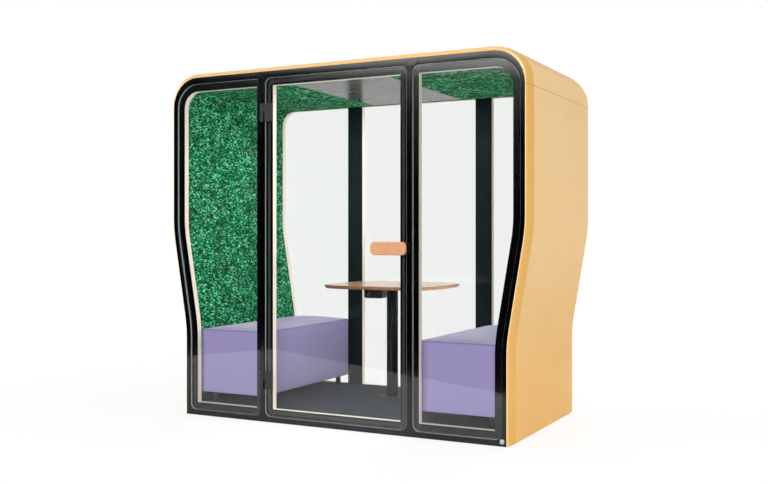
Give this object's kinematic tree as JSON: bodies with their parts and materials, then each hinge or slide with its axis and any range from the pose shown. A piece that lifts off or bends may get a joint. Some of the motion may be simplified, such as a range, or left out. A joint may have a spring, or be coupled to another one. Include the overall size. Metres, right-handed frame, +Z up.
{
  "type": "acoustic office pod",
  "caption": "Free-standing office pod: curved golden tunnel shell, flush-glazed black ends, hinged glass door with pull handle, upholstered benches and a table on a column.",
  "frame": {"origin": "middle of the base platform's underside, on the floor", "axes": "+X along the glazed front, to the right seen from the door side; +Y from the door to the back; +Z up"},
  "size_m": [2.428, 1.2653, 2.202],
  "materials": {
    "shell": "soft matte lacquer, golden beige",
    "absorber": "grey fibre absorber",
    "lining": "speckled green felt",
    "ceiling": "satin light grey",
    "carpet": "short dark grey pile",
    "plinth": "black painted board",
    "frame": "plywood, black faces and clear edges",
    "fascia": "satin black facing",
    "glass": "clear laminated, polished edges",
    "seal": "black",
    "handle": "tan, smooth",
    "black_metal": "satin black powder coat",
    "bench_cloth": "lavender woven wool",
    "birch": "bare plywood",
    "black_plastic": "black",
    "table": "satin walnut veneer"
  },
  "bodies": {
    "pod": {"back_centre_fascia": "fascia", "back_centre_frame": "frame", "back_centre_glass": "glass", "back_left_fascia": "fascia", "back_left_frame": "frame", "back_left_glass": "glass", "back_right_fascia": "fascia", "back_right_frame": "frame", "back_right_glass": "glass", "base_platform": "plinth", "ceiling_panel": "ceiling", "door_head": "frame", "door_left_jamb": "frame", "door_right_jamb": "frame", "door_seal": "seal", "door_sill": "frame", "fan_housing": "black_plastic", "floor_carpet": "carpet", "front_centre_fascia": "fascia", "front_left_fascia": "fascia", "front_left_frame": "frame", "front_left_glass": "glass", "front_right_fascia": "fascia", "front_right_frame": "frame", "front_right_glass": "glass", "left_bench_back_inner_foot": "black_plastic", "left_bench_back_outer_foot": "black_plastic", "left_bench_carcass": "birch", "left_bench_cushion": "bench_cloth", "left_bench_front_inner_foot": "black_plastic", "left_bench_front_outer_foot": "black_plastic", "left_lining": "lining", "left_wall_core": "absorber", "left_wall_shell": "shell", "lower_hinge_leaf": "black_metal", "power_module": "black_plastic", "right_bench_back_inner_foot": "black_plastic", "right_bench_back_outer_foot": "black_plastic", "right_bench_carcass": "birch", "right_bench_cushion": "bench_cloth", "right_bench_front_inner_foot": "black_plastic", "right_bench_front_outer_foot": "black_plastic", "right_lining": "lining", "right_wall_core": "absorber", "right_wall_shell": "shell", "roof_core": "absorber", "roof_shell": "shell", "table_base": "black_metal", "table_bracket": "black_metal", "table_column": "black_metal", "table_top": "table", "upper_hinge_leaf": "black_metal"},
    "door": {"door_glass": "glass", "outer_handle_grip": "handle", "outer_handle_spacer": "black_metal", "inner_handle": "handle", "upper_hinge_plate": "black_metal", "lower_hinge_plate": "black_metal"},
    "fan": {"fan_rotor": "black_plastic"}
  },
  "joints": [
    {"name": "door_hinge", "type": "hinge", "parent": "pod", "child": "door", "pos_m": [-0.5, -0.623, 1.09], "axis": [0, 0, -1], "range_deg": [0, 105]},
    {"name": "fan_spin", "type": "hinge", "parent": "pod", "child": "fan", "pos_m": [0, 0.15, 2.12], "axis": [0, 0, 1], "continuous": true}
  ]
}
